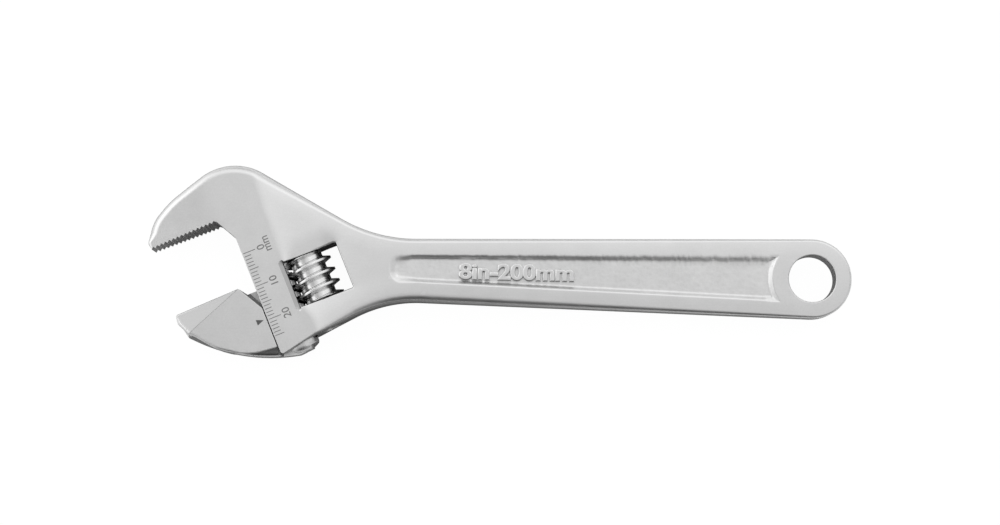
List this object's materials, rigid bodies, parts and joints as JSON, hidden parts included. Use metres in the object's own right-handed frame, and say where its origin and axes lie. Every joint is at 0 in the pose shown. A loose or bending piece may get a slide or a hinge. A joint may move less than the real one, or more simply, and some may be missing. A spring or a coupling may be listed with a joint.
{
  "type": "adjustable wrench",
  "caption": "Forged adjustable wrench with an angled head, a toothed fixed jaw, a sliding jaw moved by a worm, an opening scale and a hanging hole.",
  "frame": {"origin": "under the middle of the wrench's outline with the jaws 20 mm open, on the surface that the lower head face lies on", "axes": "+X along the handle from the head to the hanging hole, +Z through the thickness, +Y towards the fixed jaw's crown"},
  "size_m": [0.2002, 0.0544, 0.014],
  "materials": {
    "body_chrome": "satin",
    "jaw_chrome": "satin",
    "worm_chrome": "bright",
    "pin_steel": "turned",
    "spring_steel": "drawn wire"
  },
  "bodies": {
    "frame": {"body": "body_chrome", "worm_pin": "pin_steel", "worm_spring": "spring_steel"},
    "jaw": {"movable_jaw": "jaw_chrome"},
    "adjuster": {"worm": "worm_chrome"}
  },
  "joints": [
    {"name": "jaw_slide", "type": "slide", "parent": "frame", "child": "jaw", "axis": [0.3746, -0.9272, 0], "range_m": [-0.0199, 0.005]},
    {"name": "worm_spin", "type": "hinge", "parent": "frame", "child": "adjuster", "pos_m": [-0.05316, -0.00472, 0.007], "axis": [0.3746, -0.9272, 0], "range_deg": [-515, 2060]}
  ],
  "couplings": [
    {"joint": "worm_spin", "follows": "jaw_slide", "rad_per_m": -1795.2}
  ]
}
